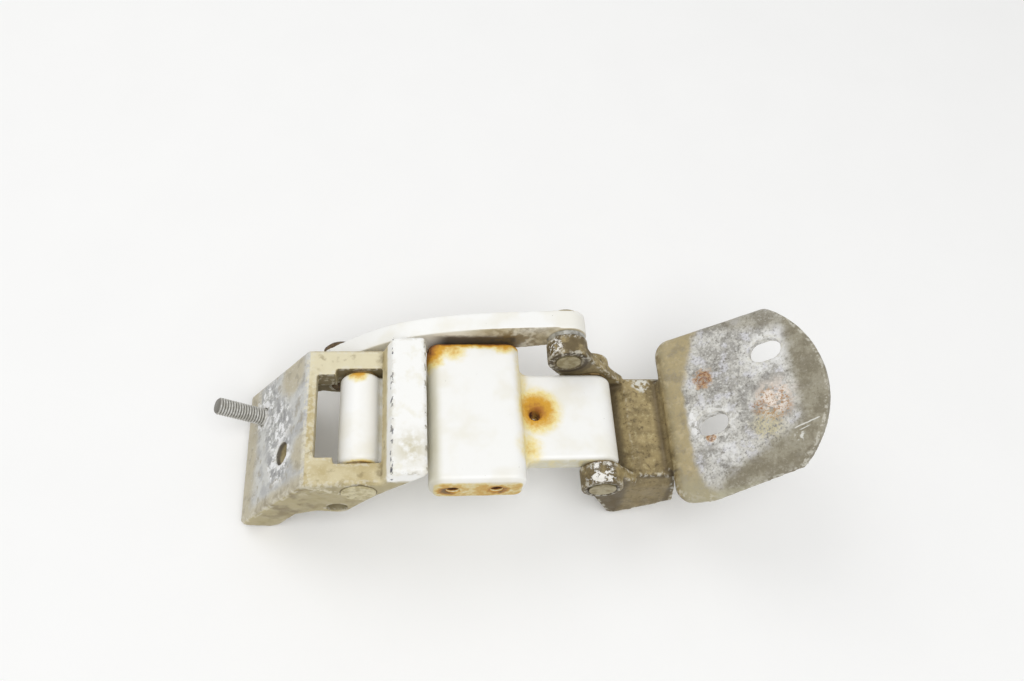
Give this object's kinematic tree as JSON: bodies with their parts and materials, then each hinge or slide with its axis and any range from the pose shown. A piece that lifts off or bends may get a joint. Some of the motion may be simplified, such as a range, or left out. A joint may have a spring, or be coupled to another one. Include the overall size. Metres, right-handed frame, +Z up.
{
  "type": "car door hinge",
  "caption": "Multi-link car door hinge: cast body bracket with stud, forged main arm, curved control link and a door bracket with a slotted leaf.",
  "frame": {"origin": "centre of the body bracket's mounting face", "axes": "+X from the body side towards the door side, +Y along the pivot pins towards the control link, +Z up as the hinge lies on a bench"},
  "size_m": [0.2651, 0.0881, 0.087],
  "materials": {
    "bracket_paint": "matte",
    "arm_paint": "satin",
    "link_paint": "satin",
    "leaf_paint": "matte",
    "worn_steel": "brushed",
    "zinc_steel": "brushed",
    "bush_bronze": "satin"
  },
  "bodies": {
    "body_bracket": {"body_bracket": "bracket_paint", "mounting_stud": "zinc_steel", "arm_body_pin": "worn_steel", "link_body_pin": "worn_steel", "link_body_washer": "zinc_steel"},
    "main_arm": {"main_arm": "arm_paint", "arm_body_bush_near": "bush_bronze", "arm_body_bush_far": "bush_bronze", "arm_door_bush_near": "bush_bronze", "arm_door_bush_far": "bush_bronze"},
    "control_link": {"control_link": "link_paint", "link_body_bush": "bush_bronze"},
    "door_bracket": {"door_bracket": "leaf_paint", "arm_door_pin": "worn_steel", "link_door_pin": "worn_steel", "link_door_washer": "zinc_steel", "link_door_bush": "bush_bronze"}
  },
  "joints": [
    {"name": "arm_swing", "type": "hinge", "parent": "body_bracket", "child": "main_arm", "pos_m": [0.0399, 0, 0.0159], "axis": [0, 1, 0], "range_deg": [0, 32]},
    {"name": "door_swing", "type": "hinge", "parent": "main_arm", "child": "door_bracket", "pos_m": [0.1454, 0, 0.0125], "axis": [0, 1, 0], "range_deg": [0, 26.7]},
    {"name": "link_swing", "type": "hinge", "parent": "body_bracket", "child": "control_link", "pos_m": [0.0299, 0, -0.0027], "axis": [0, 1, 0], "range_deg": [0, 28.4]}
  ],
  "couplings": [
    {"joint": "door_swing", "follows": "arm_swing", "ratio": 0.834},
    {"joint": "link_swing", "follows": "arm_swing", "ratio": 0.886}
  ]
}
